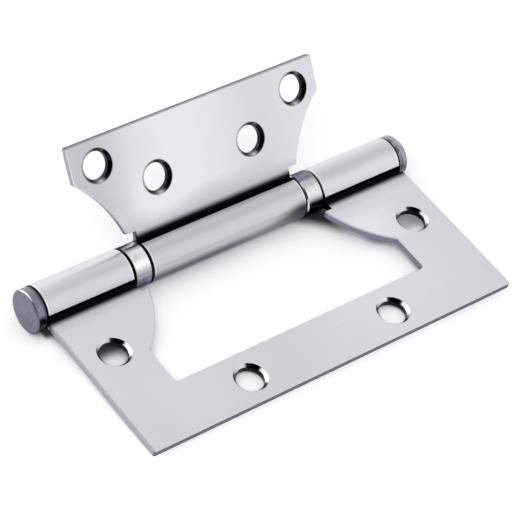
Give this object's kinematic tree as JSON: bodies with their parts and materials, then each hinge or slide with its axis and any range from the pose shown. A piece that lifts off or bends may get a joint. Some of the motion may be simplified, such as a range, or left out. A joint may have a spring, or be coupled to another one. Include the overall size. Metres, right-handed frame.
{
  "type": "non-mortise door hinge",
  "caption": "Non-mortise door hinge: a shaped inner leaf folds into the cut-out of a frame-shaped outer leaf, on a ball-bearing barrel with dark end caps.",
  "frame": {"origin": "on the pin's axis, halfway along the barrel", "axes": "+X along the pin; the outer leaf lies in the XY plane towards -Y with its countersunk face up, +Z; the inner leaf stands open at 127 degrees"},
  "size_m": [0.1042, 0.0635, 0.0297],
  "materials": {
    "leaf_steel": "satin stainless sheet",
    "bearing_shell_steel": "bright satin steel ring",
    "cap_nickel": "dark satin nickel",
    "pin_steel": "ground steel",
    "race_steel": "hardened steel",
    "ball_steel": "polished ball steel",
    "cage_brass": "stamped brass"
  },
  "bodies": {
    "outer": {"outer_leaf": "leaf_steel", "hinge_pin": "pin_steel", "left_cap": "cap_nickel", "right_cap": "cap_nickel", "left_bearing_shell": "bearing_shell_steel", "right_bearing_shell": "bearing_shell_steel", "left_outer_race": "race_steel", "right_outer_race": "race_steel"},
    "inner": {"inner_leaf": "leaf_steel", "left_inner_race": "race_steel", "right_inner_race": "race_steel"},
    "left_ball_set": {"left_ball_cage": "cage_brass", "left_balls": "ball_steel"},
    "right_ball_set": {"right_ball_cage": "cage_brass", "right_balls": "ball_steel"}
  },
  "joints": [
    {"name": "leaf_swing", "type": "hinge", "parent": "outer", "child": "inner", "pos_m": [0, 0, 0], "axis": [-1, 0, 0], "range_deg": [-127, 53]},
    {"name": "left_ball_roll", "type": "hinge", "parent": "outer", "child": "left_ball_set", "pos_m": [-0.02417, 0, 0], "axis": [-1, 0, 0], "range_deg": [-63.5, 26.5]},
    {"name": "right_ball_roll", "type": "hinge", "parent": "outer", "child": "right_ball_set", "pos_m": [0.02417, 0, 0], "axis": [-1, 0, 0], "range_deg": [-63.5, 26.5]}
  ],
  "couplings": [
    {"joint": "left_ball_roll", "follows": "leaf_swing", "ratio": 0.5},
    {"joint": "right_ball_roll", "follows": "leaf_swing", "ratio": 0.5}
  ]
}
